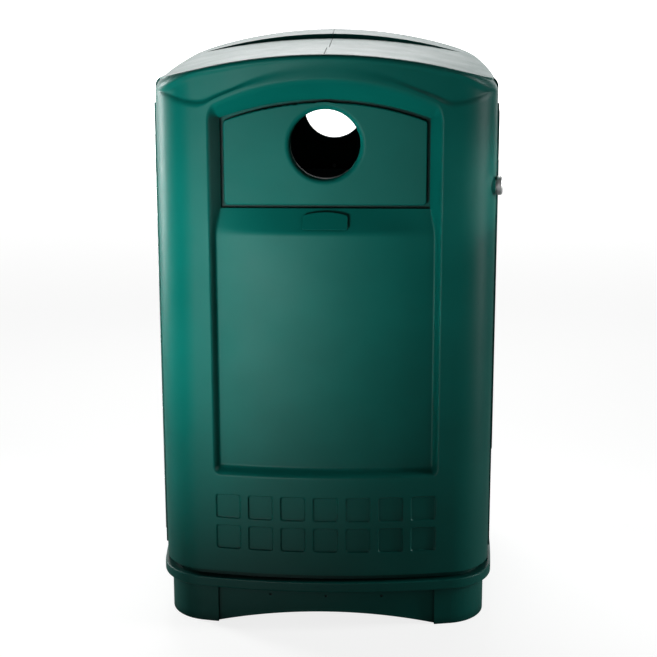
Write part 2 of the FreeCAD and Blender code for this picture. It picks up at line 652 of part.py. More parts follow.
def lock_cam():
    """Hook that turns down behind the keeper pin; drawn unlocked, with the hook swung up."""
    slot_r = KEEPER_REACH + KEEPER_PIN_R + 0.8
    hub = cylinder_x(11, CAM_X0, CAM_X1, LOCK_Y, LOCK_Z)
    hook = sector(slot_r, slot_r + 6, CAM_SWING - 20, CAM_SWING + CAM_HOOK_TOP)
    arm = sector(8, slot_r + 6, CAM_SWING + CAM_HOOK_TOP - 22, CAM_SWING + CAM_HOOK_TOP)
    cam = hub.fuse([hook, arm]).removeSplitter()
    return cam.cut(box(CAM_X0 - 1, CAM_X1 + 1, LOCK_Y - 3, LOCK_Y + 3, LOCK_Z - 3, LOCK_Z + 3))


def lock_cam_screw():
    return cylinder_x(6, CAM_X0 - 3, CAM_X0, LOCK_Y, LOCK_Z)


def lock_keeper():
    pin_y = LOCK_Y + KEEPER_REACH
    cheek = box(287, 290, -206, -195, LOCK_Z - 48, LOCK_Z + 48)
    foot = box(287, 300, -198.4, -195, LOCK_Z - 48, LOCK_Z + 48)
    pin = cylinder_x(KEEPER_PIN_R, 278.5, 288, pin_y, LOCK_Z)
    return cheek.fuse([foot, pin]).removeSplitter()


def lock_keeper_screws():
    screws = []
    for dz in (-38, 38):
        shank = cylinder_y(2.0, -202.4, -195, 295.5, LOCK_Z + dz)
        screws.append(shank.fuse(cylinder_y(3.8, -195, -192.6, 295.5, LOCK_Z + dz)))
    return Part.makeCompound(screws)


def lock_window(y0, y1):
    """Opening in a shell flange where the cam and the keeper pass."""
    return box(270, 290.3, y0, y1, LOCK_Z - 50, LOCK_Z + 50)


# Other fasteners and rubber pads

def roof_seam_bolts():
    bolts = []
    for y in (-280, -180, -60, 60, 180, 280):
        z = HEIGHT - 22 if abs(y) > DISH_HALF_Y + 5 else HEIGHT - 28
        reach = WALL + SEAM / 2
        bolt = cylinder_x(3.0, -reach, reach, y, z)
        bolt = bolt.fuse([cylinder_x(5.5, reach, reach + 4, y, z), cylinder_x(5.5, -reach - 4, -reach, y, z)])
        bolts.append(bolt)
    return Part.makeCompound(bolts)


def back_seam_bolts():
    """Bolts that hold the back shell's flanges to the side shells' flanges."""
    y0 = EDGE_Y - HINGE_GAP - FLANGE_T
    y1 = EDGE_Y - HINGE_GAP + SEAM + FLANGE_T
    bolts = []
    for x in (-290, 290):
        for z in (180, 380, 580, 780, 950):
            bolt = cylinder_y(3.0, y0, y1, x, z)
            bolt = bolt.fuse([cylinder_y(5.5, y0 - 4, y0, x, z), cylinder_y(5.5, y1, y1 + 4, x, z)])
            bolts.append(bolt)
    return Part.makeCompound(bolts)


def base_bolts():
    """Short bolts from inside through the base upstand into the side and back shells."""
    bolts = []
    for sx in (-1, 1):
        for y in (-150, 0, 150):
            outer = HALF_W - (SIDE_R - math.sqrt(SIDE_R ** 2 - y ** 2))
            head_x = outer - UPSTAND_FRONT_INSET - WALL
            bolt = cylinder_x(3.0, head_x, outer - 1.5, y, 112)
            bolt = bolt.fuse(cylinder_x(5.5, head_x - 3.5, head_x, y, 112))
            bolts.append(bolt if sx > 0 else mirrored_x(bolt))
    for x in (-150, 0, 150):
        outer = HALF_D - (BOW_R - math.sqrt(BOW_R ** 2 - x ** 2))
        head_y = outer - UPSTAND_FRONT_INSET - WALL
        bolt = cylinder_y(3.0, head_y, outer - 1.5, x, 112)
        bolts.append(bolt.fuse(cylinder_y(5.5, head_y - 3.5, head_y, x, 112)))
    return Part.makeCompound(bolts)


def door_bumpers():
    """Rubber pads on the lock side flange that the door closes against."""
    edge = -EDGE_Y + HINGE_GAP
    return Part.makeCompound([box(280, 296, edge - 2.9, edge, z, z + 40) for z in (170, 500, 920)])


# Liner

def round_square(half, radius, z):
    k = radius * (1 - math.sqrt(0.5))
    h, s = half, half - radius
    edges = []
    for turn in range(4):
        quarter = [
            Part.makeLine(V(h, -s, z), V(h, s, z)),
            arc(V(h, s, z), V(h - k, h - k, z), V(s, h, z)),
        ]
        for edge in quarter:
            edge.rotate(V(0, 0, 0), V(0, 0, 1), 90 * turn)
            edges.append(edge)
    return Part.Wire(edges)


def liner():
    outer = Part.makeLoft([round_square(LINER_BOTTOM_HALF, LINER_CORNER_R, LINER_Z0),
                           round_square(LINER_TOP_HALF, LINER_CORNER_R, LINER_Z1)], True, True)
    lip = Part.Face(round_square(LINER_TOP_HALF + LINER_LIP, LINER_CORNER_R + LINER_LIP, LINER_Z1 - 14))
    outer = outer.fuse(lip.extrude(V(0, 0, 14)))
    w = LINER_WALL
    inner = Part.makeLoft([round_square(LINER_BOTTOM_HALF - w, LINER_CORNER_R - w, LINER_Z0 + 4),
                           round_square(LINER_TOP_HALF - w, LINER_CORNER_R - w, LINER_Z1 + 1)], True, True)
    under_lip = Part.Face(round_square(LINER_TOP_HALF + LINER_LIP - w, LINER_CORNER_R + LINER_LIP - w,
                                       LINER_Z1 - 15))
    under_lip = under_lip.extrude(V(0, 0, 15 - w))
    under_lip = under_lip.cut(Part.Face(round_square(LINER_TOP_HALF, LINER_CORNER_R, LINER_Z1 - 16)).extrude(
        V(0, 0, 40)))
    tub = outer.cut(inner).cut(under_lip)
    grip = box(-300, 300, -60, 60, LINER_Z1 - 75, LINER_Z1 - 40)
    along_x = [edge for edge in grip.Edges if abs(edge.tangentAt(0).x) > 0.9]
    return tub.cut(grip.makeFillet(14, along_x))


# Assembly

def build():
    skin = body_skin(RIM_Z1)
    parts = {}
    groove = cylinder_z(KNUCKLE_R + 0.5, HINGE_Z0 - 2, HINGE_Z1 + 2, PIN_X, PIN_Y)

    door = end_shell(skin, DOOR_Z0, EDGE_Y + HINGE_GAP, 0)
    name_plate = badge()
    front_screws = panel_screws()
    door_rivets = hinge_rivets(True)
    panel = hole_panel()
    door = door.fuse(lock_boss()).removeSplitter()
    door = door.cut([name_plate, front_screws, lock_body(), door_rivets, groove])
    door = door.cut(lock_window(-EDGE_Y - HINGE_GAP - FLANGE_T - 1, -EDGE_Y))
    parts["front_door"] = door
    parts["front_hole_panel"] = panel.cut(front_screws)
    parts["front_panel_screws"] = front_screws
    parts["badge"] = name_plate
    parts["hinge_door_leaf"] = hinge_leaf(True).cut(door_rivets)
    parts["hinge_door_rivets"] = door_rivets
    parts["lock_housing"] = lock_housing()
    parts["lock_nut"] = lock_nut()
    parts["lock_plug"] = lock_plug()
    parts["lock_cam"] = lock_cam()
    parts["lock_cam_screw"] = lock_cam_screw()

    seam_bolts = roof_seam_bolts()
    rear_bolts = back_seam_bolts()
    low_bolts = base_bolts()
    frame_rivets = hinge_rivets(False)
    keeper_screws = lock_keeper_screws()
    right = side_shell(skin)
    left = mirrored_x(right)
    right = right.cut([seam_bolts, rear_bolts, low_bolts, keeper_screws])
    right = right.cut(lock_window(-EDGE_Y, -EDGE_Y + HINGE_GAP + FLANGE_T + 1))
    left = left.cut([seam_bolts, rear_bolts, low_bolts, frame_rivets, groove])
    parts["left_side_shell"] = left
    parts["right_side_shell"] = right
    back = turned_back(end_shell(skin, RIM_Z1, EDGE_Y - HINGE_GAP + SEAM, SEAM))
    back_screws = turned_back(panel_screws())
    parts["back_shell"] = back.cut([back_screws, rear_bolts, low_bolts])
    parts["back_hole_panel"] = turned_back(panel).cut(back_screws)
    parts["back_panel_screws"] = back_screws
    parts["base"] = base().cut(low_bolts)
    parts["anchor_washers"] = anchor_washers()
    parts["roof_seam_bolts"] = seam_bolts
    parts["back_seam_bolts"] = rear_bolts
    parts["base_bolts"] = low_bolts
    parts["hinge_frame_leaf"] = hinge_leaf(False).cut(frame_rivets)
    parts["hinge_frame_rivets"] = frame_rivets
    parts["hinge_pin"] = hinge_pin()
    parts["lock_keeper"] = lock_keeper().cut(keeper_screws)
    parts["lock_keeper_screws"] = keeper_screws
    parts["door_bumpers"] = door_bumpers()
    parts["liner"] = liner()
    return parts


os.makedirs("parts", exist_ok=True)
for name, shape in build().items():
    box_ = shape.BoundBox
    print(f"{name}: solids {len(shape.Solids)}, valid {shape.isValid()}, volume {shape.Volume / 1000:.1f} cm3, "
          f"x {box_.XMin:.1f}..{box_.XMax:.1f}, y {box_.YMin:.1f}..{box_.YMax:.1f}, "
          f"z {box_.ZMin:.1f}..{box_.ZMax:.1f}")
    shape.exportStep(f"parts/{name}.step")
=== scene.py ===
import json
import math

import bmesh
import bpy
import numpy as np
from mathutils import Matrix, Vector


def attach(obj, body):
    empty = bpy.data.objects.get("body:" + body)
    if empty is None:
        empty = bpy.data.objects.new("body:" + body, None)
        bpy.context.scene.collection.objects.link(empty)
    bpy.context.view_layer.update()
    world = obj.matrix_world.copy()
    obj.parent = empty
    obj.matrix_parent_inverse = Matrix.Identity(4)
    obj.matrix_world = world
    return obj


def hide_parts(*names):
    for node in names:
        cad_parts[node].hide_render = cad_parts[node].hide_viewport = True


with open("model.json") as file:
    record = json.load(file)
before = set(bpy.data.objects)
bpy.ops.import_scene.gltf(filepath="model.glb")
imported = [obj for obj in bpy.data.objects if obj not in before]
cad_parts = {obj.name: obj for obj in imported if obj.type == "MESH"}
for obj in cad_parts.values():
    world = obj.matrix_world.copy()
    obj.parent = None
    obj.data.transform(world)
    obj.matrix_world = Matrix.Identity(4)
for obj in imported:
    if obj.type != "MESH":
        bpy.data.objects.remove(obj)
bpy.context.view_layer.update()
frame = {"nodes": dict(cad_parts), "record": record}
nodes = frame["nodes"]
scene = bpy.context.scene


# ---------------------------------------------------------------- node helpers

class Shader:
    """Small wrapper that keeps node building short."""

    def __init__(self, name):
        self.material = bpy.data.materials.new(name)
        self.material.use_nodes = True
        self.tree = self.material.node_tree
        self.bsdf = next(n for n in self.tree.nodes if n.type == "BSDF_PRINCIPLED")
        self.coords = self.node("ShaderNodeTexCoord").outputs["Object"]

    def node(self, kind, **values):
        made = self.tree.nodes.new(kind)
        for key, value in values.items():
            setattr(made, key, value)
        return made

    def link(self, out, into):
        self.tree.links.new(out, into)

    def stretched(self, scale):
        mapping = self.node("ShaderNodeMapping")
        mapping.inputs["Scale"].default_value = scale
        self.link(self.coords, mapping.inputs["Vector"])
        return mapping.outputs["Vector"]

    def noise(self, scale, detail=4.0, rough=0.55, vector=None):
        made = self.node("ShaderNodeTexNoise")
        made.inputs["Scale"].default_value = scale
        made.inputs["Detail"].default_value = detail
        made.inputs["Roughness"].default_value = rough
        self.link(vector or self.coords, made.inputs["Vector"])
        return made.outputs["Fac"]

    def cells(self, scale, feature):
        made = self.node("ShaderNodeTexVoronoi", feature=feature)
        made.inputs["Scale"].default_value = scale
        self.link(self.coords, made.inputs["Vector"])
        return made.outputs["Distance"]

    def remap(self, value, lo, hi, out_lo, out_hi):
        made = self.node("ShaderNodeMapRange")
        for key, number in (("From Min", lo), ("From Max", hi), ("To Min", out_lo), ("To Max", out_hi)):
            made.inputs[key].default_value = number
        self.link(value, made.inputs["Value"])
        return made.outputs["Result"]

    def math(self, operation, a, b):
        made = self.node("ShaderNodeMath", operation=operation)
        for slot, value in zip(made.inputs, (a, b)):
            if isinstance(value, (int, float)):
                slot.default_value = value
            else:
                self.link(value, slot)
        return made.outputs["Value"]

    def mix(self, factor, a, b):
        made = self.node("ShaderNodeMix", data_type="RGBA")
        self.link(factor, made.inputs["Factor"])
        for slot, value in ((made.inputs[6], a), (made.inputs[7], b)):
            if isinstance(value, tuple):
                slot.default_value = value
            else:
                self.link(value, slot)
        return made.outputs[2]

    def bump(self, height, distance, strength, under=None):
        made = self.node("ShaderNodeBump")
        made.inputs["Distance"].default_value = distance
        made.inputs["Strength"].default_value = strength
        self.link(height, made.inputs["Height"])
        if under is not None:
            self.link(under, made.inputs["Normal"])
        return made.outputs["Normal"]

    def edges(self, radius):
        """A value that is 1 on the flat and falls near sharp edges, and the normal that rounds them."""
        bevel = self.node("ShaderNodeBevel", samples=4)
        bevel.inputs["Radius"].default_value = radius
        geometry = self.node("ShaderNodeNewGeometry")
        dot = self.node("ShaderNodeVectorMath", operation="DOT_PRODUCT")
        self.link(bevel.outputs["Normal"], dot.inputs[0])
        self.link(geometry.outputs["Normal"], dot.inputs[1])
        return dot.outputs["Value"], bevel.outputs["Normal"]

    def crevice(self, reach):
        """1 in the open, and towards 0 in corners and grooves."""
        node = self.node("ShaderNodeAmbientOcclusion")
        node.samples = 8
        node.inputs["Distance"].default_value = reach
        return node.outputs["AO"]

    def set(self, **values):
        names = {"base": "Base Color", "rough": "Roughness", "metal": "Metallic", "normal": "Normal",
                 "specular": "Specular IOR Level"}
        for key, value in values.items():
            slot = self.bsdf.inputs[names[key]]
            if isinstance(value, (int, float, tuple)):
                slot.default_value = value
            else:
                self.link(value, slot)
        return self.material


def rgb(r, g, b):
    """sRGB 0-255 to a linear colour."""
    def line(c):
        c /= 255
        return c / 12.92 if c <= 0.04045 else ((c + 0.055) / 1.055) ** 2.4
    return (line(r), line(g), line(b), 1.0)


# ---------------------------------------------------------------- materials

def moulded(name, colour, rough, grain=1.0):
    """Satin rotomoulded or injection-moulded plastic: fine eggshell grain, slight waviness, edge scuffs, and
    painted shade darkening corners and grooves.
    """
    s = Shader(name)
    edge, rounded = s.edges(0.0012)
    r, g, b = colour
    light, dark = rgb(r * 1.05 + 1, g * 1.025 + 1, b * 1.025 + 1), rgb(r * 0.96, g * 0.98, b * 0.98)
    clouds = s.remap(s.noise(7.0, 3.0), 0.35, 0.65, 0.0, 1.0)
    base = s.mix(clouds, dark, light)
    scuff = s.math("MULTIPLY", s.remap(edge, 0.90, 0.995, 1.0, 0.0),
                   s.remap(s.noise(240.0, 6.0), 0.48, 0.62, 0.0, 0.35))
    base = s.mix(scuff, base, rgb(r + 42, g + 38, b + 38))
    # painted shade: an ambient occlusion mask darkens the base colour in corners, grooves and recesses, where
    # shade falls
    painted_crevice_shade = s.remap(s.crevice(0.022), 0.25, 0.92, 0.80, 0.0)
    base = s.mix(painted_crevice_shade, base, rgb(r * 0.1, g * 0.28, b * 0.30))
    rubbed = s.remap(s.noise(16.0, 6.0, 0.65), 0.3, 0.7, rough - 0.035, rough + 0.045)
    grain_height = s.math("ADD", s.noise(1500.0, 2.0), s.math("MULTIPLY", s.cells(1100.0, "SMOOTH_F1"), 0.7))
    normal = s.bump(grain_height, 0.00006 * grain, 0.9, rounded)
    normal = s.bump(s.noise(9.0, 1.0), 0.0012, 0.25, normal)
    return s.set(base=base, rough=rubbed, normal=normal, specular=0.22)


def metal(name, colour, rough, stretch=(1, 1, 1), scratch=0.00002):
    s = Shader(name)
    edge, rounded = s.edges(0.0004)
    brushed = s.noise(900.0, 5.0, 0.6, s.stretched(stretch))
    r, g, b = colour
    base = s.mix(s.remap(brushed, 0.3, 0.7, 0.0, 1.0), rgb(r * 0.9, g * 0.9, b * 0.9), rgb(r, g, b))
    roughness = s.remap(s.noise(60.0, 5.0), 0.3, 0.7, rough - 0.06, rough + 0.08)
    return s.set(base=base, rough=roughness, metal=1.0, normal=s.bump(brushed, scratch, 0.6, rounded))


def rubber(name):
    s = Shader(name)
    base = s.mix(s.remap(s.noise(300.0, 5.0), 0.3, 0.7, 0.0, 1.0), rgb(24, 24, 25), rgb(40, 40, 41))
    roughness = s.remap(s.noise(120.0, 4.0), 0.3, 0.7, 0.7, 0.85)
    return s.set(base=base, rough=roughness, normal=s.bump(s.noise(1200.0, 3.0), 0.0001, 0.5))


GREEN = (0, 82, 74)
green = moulded("green_moulded_shell", GREEN, 0.42)
green_panel = moulded("green_moulded_panel", GREEN, 0.46)
green_base = moulded("green_moulded_base", GREEN, 0.42)
green_badge = moulded("green_moulded_badge", GREEN, 0.34, 0.3)
stainless = metal("stainless_brushed", (196, 197, 196), 0.30, (1, 1, 0.04))
zinc = metal("zinc_plated_steel", (176, 180, 184), 0.38)
chrome = metal("lock_chrome", (236, 237, 238), 0.42, scratch=0.000006)
brass = metal("lock_brass", (196, 164, 98), 0.26)
black = rubber("black_rubber")
liner_grey = moulded("grey_liner_plastic", (118, 120, 121), 0.52)

FINISH = {
    "green_plastic": green, "green_panel": green_panel, "green_base": green_base, "green_badge": green_badge,
    "stainless_steel": stainless, "zinc_fasteners": zinc, "lock_chrome": chrome, "lock_brass": brass,
    "black_rubber": black, "grey_liner": liner_grey,
}
slot_of = {row["node"]: row["material_slot"] for row in frame["record"]["subparts"]}
for name, item in nodes.items():
    item.data.materials.clear()
    item.data.materials.append(FINISH[slot_of[name]])


# ---------------------------------------------------------------- end mouldings
# The front door and the back shell are the same moulding: one grid that follows the bowed plan, sunk by a
# depth that gives the recess, the brow and the tiles their soft moulded edges. Sizes are in millimetres.

MM = 0.001
BOW, CORNER, SIDE, ROOF = 1250.0, 88.0, 2700.0, 920.0
END_Y, SIDE_X, ROOF_Z = BOW - 309.0, 315.0 - SIDE, 1070.0 - ROOF
WALL = 5.0
LEDGE = 8.0
EDGE_RISE = (9.0, 36.0)        # rounding along the roof edge, at the front and at the sides
PLANE = 268.0                  # the hole panel's plane
WINDOW = (186.0, 794.0, 955.5, 988.5)
RECESS_Z, SILL_Z, POCKET = 301.0, 751.5, 16.0
RECESS_U = 205.9
LOCK_AT = (-228.0, 829.5)      # y and z of the lock's axis
LOCK_HOLE = 11.5               # the skin is open within this radius of it
HOLE_U = 190.8                 # half width of the window, along the plan
TILE_ROWS, TILE_PITCH = (237.5, 177.0), 60.1
TILE_HALF, TILE_DEPTH = (22.75, 23.5), 3.2
HINGE_Z, HINGE_GAP = (153, 919), 2.4
BOSS_X, BOSS_R, BOSS_SIDES = (289.0, 302.5), (10.0, 16.8), 48


def corner_circle():
    """Centre of the circle that touches the bowed face and the bowed side from inside."""
    a, b = BOW - CORNER, SIDE - CORNER
    gap = math.hypot(SIDE_X, END_Y)
    along = (a * a - b * b + gap * gap) / (2 * gap)
    off = math.sqrt(a * a - along * along)
    ex, ey = SIDE_X / gap, -END_Y / gap
    return along * ex - off * ey, END_Y + along * ey + off * ex


CORNER_X, CORNER_Y = corner_circle()
FACE_ANGLE = math.atan2(CORNER_X, END_Y - CORNER_Y)
FACE_U = BOW * FACE_ANGLE
TURN = math.atan2(CORNER_X - SIDE_X, -CORNER_Y) - FACE_ANGLE


def edge_u(edge_y):
    """Length along the plan from the middle of the face to where the shell ends."""
    return FACE_U + CORNER * (math.acos((CORNER_Y - edge_y) / CORNER) - FACE_ANGLE)


def plan(u):
    """Point and outward normal of the plan, and how far round the corner it is."""
    a, side = np.abs(u), np.sign(u)
    flat = a <= FACE_U
    angle = np.where(flat, a / BOW, FACE_ANGLE + (a - FACE_U) / CORNER)
    nx, ny = np.sin(angle), -np.cos(angle)
    x = np.where(flat, BOW * nx, CORNER_X + CORNER * nx)
    y = np.where(flat, END_Y + BOW * ny, CORNER_Y + CORNER * ny)
    return x * side, y, nx * side, ny, np.clip((angle - FACE_ANGLE) / TURN, 0, 1)


def roof_edge(u):
    """Radius, centre height and swept angle of the rounding between wall and roof."""
    x, _, nx, _, turned = plan(u)
    radius = EDGE_RISE[0] + (EDGE_RISE[1] - EDGE_RISE[0]) * turned
    root = np.sqrt(ROOF ** 2 - x ** 2)
    tilt = np.arctan(np.abs(x * nx) / root)
    centre = ROOF_Z + root + radius * np.tan(tilt) - radius / np.cos(tilt)
    return radius, centre, np.arccos(1 - LEDGE / radius)


def arch(x, half, low, top):
    """Height of the circle arc through (0, top) and (half, low)."""
    rise = top - low
    radius = (half ** 2 + rise ** 2) / (2 * rise)
    return top - radius + np.sqrt(np.maximum(radius ** 2 - x ** 2, 0))


def smooth_min(a, b, k):
    return np.minimum(a, b) - np.maximum(k - np.abs(a - b), 0) ** 2 / (4 * k)


def smooth_max(a, b, k):
    return np.maximum(a, b) + np.maximum(k - np.abs(a - b), 0) ** 2 / (4 * k)


def rounded_max(p, q, r):
    """Largest of two distances, with the outside corner rounded."""
    p, q = p + r, q + r
    return np.minimum(np.maximum(p, q), 0) + np.hypot(np.maximum(p, 0), np.maximum(q, 0)) - r


def window_row(u):
    x = np.minimum((END_Y + PLANE) * np.tan(np.abs(u) / BOW), WINDOW[0])
    return arch(x, WINDOW[0], WINDOW[2], WINDOW[3])


def recess_row(x):
    return arch(np.minimum(np.abs(x), 205.0), 205.0, 976.5, 1024.5)


def brow_foot(x):
    """Lower edge of the brow: the arch over the recess, then a dip, then the column tops."""
    a = np.abs(x)
    over = arch(np.minimum(a, 200.0), 200.0, 988.0, 1036.0)
    column = 980.5 + (np.maximum(a - 222.0, 0) / 78.0) ** 1.7 * 19.0
    dip = 988.0 - (a - 200.0) * 0.55
    return np.where(a < 200.0, over, smooth_max(dip, column, 6.0))


def brow_crease(x):
    a = np.abs(x)
    return np.where(a < 190.0, arch(np.minimum(a, 190.0), 190.0, 993.0, 1050.0), 0.0)


def recess_depth(u, x, z):
    angle = np.minimum(np.abs(u) / BOW, FACE_ANGLE)
    plane = BOW - (END_Y + PLANE) / np.cos(angle)
    lean = np.clip((z - SILL_Z) / (WINDOW[1] - SILL_Z), 0, 1)
    side = (RECESS_U - np.abs(u)) * (2.44 + (1.82 - 2.44) * lean)
    foot = (z - RECESS_Z) * 1.6
    run = np.zeros_like(z)
    for _ in range(14):
        half, low, top = 186.0 + 0.77 * run, 955.5 + 0.81 * run, 988.5 + 0.878 * run
        run = run + (z - arch((END_Y + PLANE + run) * np.tan(angle), half, low, top)) * 0.8
        run = np.clip(run, -60, 60)
    crown = BOW - np.hypot((END_Y + PLANE + run) * np.tan(angle), END_Y + PLANE + run)
    walls = -rounded_max(-side, np.maximum(-foot, np.where(z > 850, -crown, -200.0)), 22.0)
    sill = POCKET + smooth_max((z - SILL_Z) / (WINDOW[1] - SILL_Z) * (plane - POCKET), 0 * z, 3.0)
    floor = np.where(z < WINDOW[1] + 0.01, np.minimum(sill, plane + 0.9), plane)
    sunk = np.where(z < WINDOW[1] - 12, smooth_min(walls, floor, 6.0), np.minimum(walls, floor))
    return smooth_max(sunk, 0 * z, 6.5)


def brow_depth(u, x, z):
    radius, centre, _ = roof_edge(u)
    foot = brow_foot(x)
    face = 6.5 - 6.2 * np.clip((z - 975.0) / 87.0, 0, 1)
    crease = brow_crease(x)
    lens = np.clip(crease - foot, 0.1, 40.0)
    face_at = 6.5 - 6.2 * np.clip((crease - 975.0) / 87.0, 0, 1)
    steep = np.where(crease > foot + 1, np.minimum(face_at / lens, 0.9), 0.9)
    low = (z - foot) * steep
    high = (centre - 0.5 - z) * 0.6
    sunk = smooth_min(smooth_min(low, face, 1.2), high, 1.5)
    soft = 0.8 + 5.0 * np.clip((np.abs(x) - 196.0) / 30.0, 0, 1)
    return smooth_max(sunk, 0 * z, soft)


def tile_depth(x, z):
    deep = 0 * z
    for row in TILE_ROWS:
        for column in range(-3, 4):
            off = rounded_max(np.abs(x - column * TILE_PITCH) - TILE_HALF[0],
                              np.abs(z - row) - TILE_HALF[1], 5.0)
            deep = np.maximum(deep, smooth_min(smooth_max(-off * 2.6, 0 * z, 0.8), TILE_DEPTH + 0 * z, 0.8))
    return deep


def spaced(marks, fine, coarse):
    """Grid lines over the marked features: (position, half width of the fine zone) pairs, coarse between."""
    lo, hi = marks[0][0], marks[-1][0]
    at, out = lo, [lo]
    while at < hi - 0.2:
        near = min(max(abs(at - m) - w, 0) for m, w in marks)
        at = min(at + min(fine + near * 0.35, coarse), hi)
        out.append(at)
    return np.array(out)


def end_moulding(name, z0, edge_y, hinge):
    """One end shell with its inside wall, as a closed grid mesh."""
    last = edge_u(edge_y)
    tiles = [c * TILE_PITCH + s * TILE_HALF[0] for c in range(4) for s in (-1, 1)]
    marks = [(0, 0)] + [(t, 2.0) for t in tiles if t > 0] + [(HOLE_U, 0.5), (204, 5), (222, 3)] + [(last, 1.5)]
    half = spaced(marks, 0.9, 6.0)
    half[np.argmin(np.abs(half - HOLE_U))] = HOLE_U
    u = np.concatenate([-half[:0:-1], half])
    low = spaced([(z0, 1)] + [(r + s * TILE_HALF[1], 2.5) for r in TILE_ROWS[::-1] for s in (-1, 1)]
                 + [(305, 8), (SILL_Z, 3), (WINDOW[1], 1), (880, 0)], 0.9, 8.0)
    low[np.argmin(np.abs(low - WINDOW[1]))] = WINDOW[1]
    x, y, nx, ny, _ = plan(u)
    radius, centre, sweep = roof_edge(u)
    foot = np.minimum(brow_foot(x), centre - 4)
    keys = [880 + 0 * u, window_row(u), recess_row(x), foot,
            np.minimum(np.maximum(brow_crease(x), foot + 3), centre - 2), centre]
    keys[1] = np.minimum(keys[1], keys[2] - 8)
    keys[2] = np.minimum(keys[2], keys[3] - 3)
    rows = [low[:, None] + 0 * u[None, :]]
    for k, count in enumerate((20, 26, 9, 9, 16)):
        t = np.linspace(0, 1, count + 1)[1:, None]
        t = 1 - (1 - t) ** 1.5 if k == 0 else t
        rows.append(keys[k][None, :] * (1 - t) + keys[k + 1][None, :] * t)
    z = np.concatenate(rows)
    window_top = len(low) - 1 + 20
    sunk = np.maximum(np.maximum(recess_depth(u[None, :] + 0 * z, x, z), brow_depth(u[None, :] + 0 * z, x, z)),
                      tile_depth(x[None, :] + 0 * z, z))
    theta = np.linspace(0, 1, 9)[1:, None] * sweep[None, :]
    inset = np.concatenate([sunk, radius * (1 - np.cos(theta))])
    height = np.concatenate([z, centre + radius * np.sin(theta)])
    in_add = np.concatenate([WALL + 0 * z, WALL * np.cos(theta)])
    in_drop = np.concatenate([0 * z, WALL * np.sin(theta)])
    count_r, count_c = height.shape
    along = np.broadcast_to(u, height.shape).copy()
    if hinge:
        held = (height[:, 0] > HINGE_Z[0]) & (height[:, 0] < HINGE_Z[1])
        along[held, 0] += HINGE_GAP
    px, py, pnx, pny, _ = plan(along)
    outer = np.stack([px - pnx * inset, py - pny * inset, height], -1)
    deep = inset + in_add
    inner = np.stack([px - pnx * deep, py - pny * deep, height - in_drop], -1)
    verts = np.concatenate([outer.reshape(-1, 3), inner.reshape(-1, 3)]) * MM
    index = np.arange(count_r * count_c).reshape(count_r, count_c)
    mid_u = (u[:-1] + u[1:]) / 2
    mid_z = (height[:-1, :-1] + height[1:, 1:]) / 2
    open_ = (np.abs(mid_u)[None, :] < HOLE_U) & (mid_z > WINDOW[1])
    open_[window_top:, :] = False
    if hinge:
        mid_x, mid_y = (px[:-1, :-1] + px[1:, 1:]) / 2, (py[:-1, :-1] + py[1:, 1:]) / 2
        open_ |= (mid_x > 0) & (np.hypot(mid_y - LOCK_AT[0], mid_z - LOCK_AT[1]) < LOCK_HOLE)
    keep = ~open_
    a, b, c, d = index[:-1, :-1], index[:-1, 1:], index[1:, 1:], index[1:, :-1]
    quads = np.stack([a, b, c, d], -1)[keep]
    faces = quads.tolist()
    shift = count_r * count_c
    faces += (quads[:, ::-1] + shift).tolist()
    used = {}
    for q in quads.tolist():
        for e in range(4):
            used[(q[e], q[(e + 1) % 4])] = True
    for p, q in used:
        if (q, p) not in used:
            faces.append([q, p, p + shift, q + shift])
    whole = [(verts, faces)]
    for side in (-1, 1):
        whole.append(edge_flange(side, edge_y - 5.0, edge_y if hinge else edge_y + 1.0, hinge and side > 0))
    if hinge:
        whole.append(lock_boss())
    return mesh_piece(name, *joined(whole))


def joined(pieces):
    """Vertices and faces of several closed shapes as one mesh."""
    verts, faces = [], []
    for points, loops in pieces:
        faces += [[n + len(verts) for n in loop] for loop in loops]
        verts += [tuple(p) for p in points]
    return verts, faces


def edge_flange(side, y0, y1, lock_side):
    """Stiffening flange inside the shell's edge, notched where the lock's hook passes."""
    outline = [(278.0, 130.0), (309.0, 130.0), (309.0, 975.0), (278.0, 975.0)]
    if lock_side:
        z = LOCK_AT[1]
        outline += [(278.0, z + 50), (290.3, z + 50), (290.3, z - 50), (278.0, z - 50)]
    count = len(outline)
    points = [(x * side * MM, y * MM, z * MM) for y in (y0, y1) for x, z in outline]
    loop = list(range(count))
    faces = [loop[::-1], [n + count for n in loop]]
    faces += [[n, (n + 1) % count, (n + 1) % count + count, n + count] for n in loop]
    return points, faces if side < 0 else [f[::-1] for f in faces]


def lock_boss():
    """Tube behind the lock, which gives its nut a flat seat."""
    points, faces = [], []
    (x0, x1), (r0, r1) = BOSS_X, BOSS_R
    for n in range(BOSS_SIDES):
        a = 2 * math.pi * n / BOSS_SIDES
        for x, r in ((x0, r0), (x0, r1), (x1, r1), (x1, r0)):
            points.append((x * MM, (LOCK_AT[0] + r * math.cos(a)) * MM, (LOCK_AT[1] + r * math.sin(a)) * MM))
        for k in range(4):
            here, after = 4 * n, 4 * ((n + 1) % BOSS_SIDES)
            faces.append([here + k, after + k, after + (k + 1) % 4, here + (k + 1) % 4])
    return points, faces


def mesh_piece(name, verts, faces):
    """Object with smooth faces, and sharp edges where they meet at over 50 degrees."""
    sharp = math.radians(50)
    mesh = bpy.data.meshes.new(name)
    mesh.from_pydata([tuple(v) for v in verts], [], faces)
    mesh.update()
    bm = bmesh.new()
    bm.from_mesh(mesh)
    loose = [v for v in bm.verts if not v.link_faces]
    bmesh.ops.delete(bm, geom=loose, context="VERTS")
    for face in bm.faces:
        face.smooth = True
    for edge in bm.edges:
        if len(edge.link_faces) == 2 and edge.calc_face_angle(0) > sharp:
            edge.smooth = False
    bm.to_mesh(mesh)
    bm.free()
    made = bpy.data.objects.new(name, mesh)
    scene.collection.objects.link(made)
    return made


